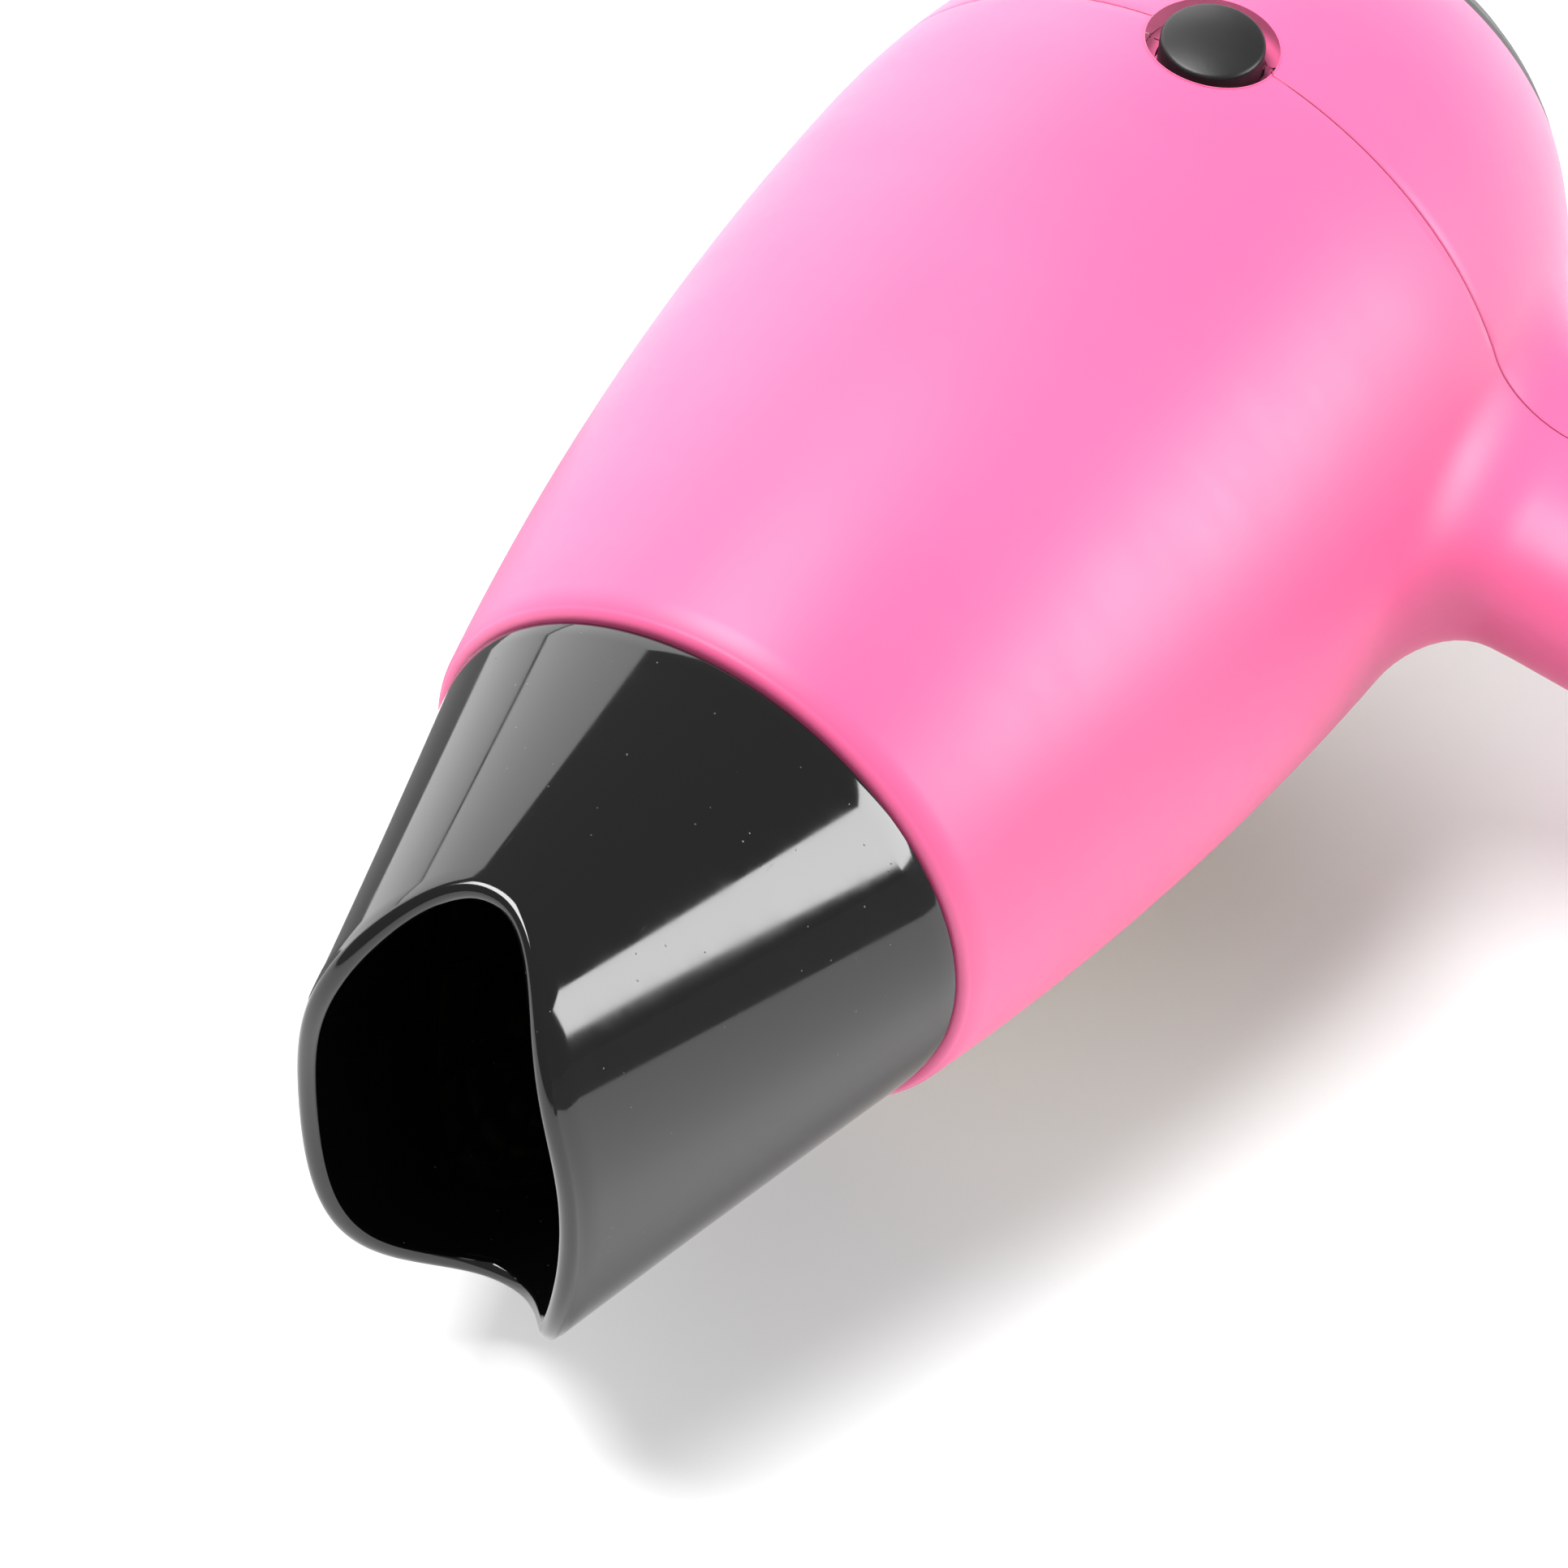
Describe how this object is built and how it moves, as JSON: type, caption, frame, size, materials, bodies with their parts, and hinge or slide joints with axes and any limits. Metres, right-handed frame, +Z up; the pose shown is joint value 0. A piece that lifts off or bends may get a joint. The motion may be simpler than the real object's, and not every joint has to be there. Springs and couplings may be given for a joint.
{
  "type": "travel hair dryer",
  "caption": "Folding travel hair dryer lying on its side: tapered barrel, flat concentrator nozzle that turns, handle on a detented hinge, slide switch and cool-shot button.",
  "frame": {"origin": "bottom centre of the whole object's box as it lies on its side", "axes": "+Z up, the side that carries the cool-shot button; air leaves the nozzle towards -Y; the handle points to +X"},
  "size_m": [0.179, 0.1594, 0.0695],
  "materials": {
    "pink_shell": "satin-gloss moulded plastic",
    "piano_black": "polished moulded plastic",
    "satin_black": "satin",
    "dark_plastic": "satin",
    "black_rubber": "matte",
    "fan_plastic": "matte",
    "filter_mesh": "fine woven mesh",
    "spring_steel": "bright drawn wire",
    "steel": "plated",
    "cream_plastic": "matte heat-resistant plastic",
    "board_green": "solder-masked laminate",
    "mica": "mica sheet",
    "heater_wire": "oxidised resistance wire",
    "copper": "bare strip",
    "wire_jacket": "smooth jacket"
  },
  "bodies": {
    "barrel": {"front_housing": "pink_shell", "rear_housing": "pink_shell", "rear_grille": "dark_plastic", "lint_filter": "filter_mesh", "outlet_guard": "dark_plastic", "snap_ring": "spring_steel", "fan_duct": "cream_plastic", "motor_can": "steel", "motor_end_cap": "cream_plastic", "rectifier_board": "board_green", "mica_sleeve": "mica", "mica_cross": "mica", "heating_coil": "heater_wire", "thermostat": "steel", "thermal_fuse": "copper", "button_spring": "spring_steel", "cool_shot_contacts": "copper", "hinge_tube": "steel", "hinge_cap_upper": "satin_black", "hinge_cap_lower": "satin_black", "housing_screw": "steel", "lead_wires": "wire_jacket"},
    "rotor": {"fan": "fan_plastic", "motor_shaft": "steel"},
    "nozzle": {"nozzle": "piano_black"},
    "button": {"cool_shot_button": "satin_black"},
    "handle": {"handle_front": "pink_shell", "handle_rear": "pink_shell", "detent_ball": "steel", "detent_spring": "spring_steel", "handle_screws": "steel", "slide_switch": "dark_plastic", "cord_gland": "black_rubber", "hang_loop": "dark_plastic"},
    "slider": {"switch_slider": "satin_black"}
  },
  "joints": [
    {"name": "handle_fold", "type": "hinge", "parent": "barrel", "child": "handle", "pos_m": [0.0081, 0.03666, 0.0346], "axis": [0, 0, -1], "range_deg": [0, 90]},
    {"name": "nozzle_turn", "type": "hinge", "parent": "barrel", "child": "nozzle", "pos_m": [-0.0549, -0.04034, 0.0346], "axis": [0, -1, 0], "continuous": true},
    {"name": "fan_spin", "type": "hinge", "parent": "barrel", "child": "rotor", "pos_m": [-0.0549, 0.03666, 0.0346], "axis": [0, 1, 0], "continuous": true},
    {"name": "button_press", "type": "slide", "parent": "barrel", "child": "button", "axis": [0, 0, -1], "range_m": [0, 0.0008], "stiffness_N_per_m": 1500, "springref_m": -0.0005},
    {"name": "switch_slide", "type": "slide", "parent": "handle", "child": "slider", "axis": [1, 0, 0], "range_m": [0, 0.008]}
  ]
}
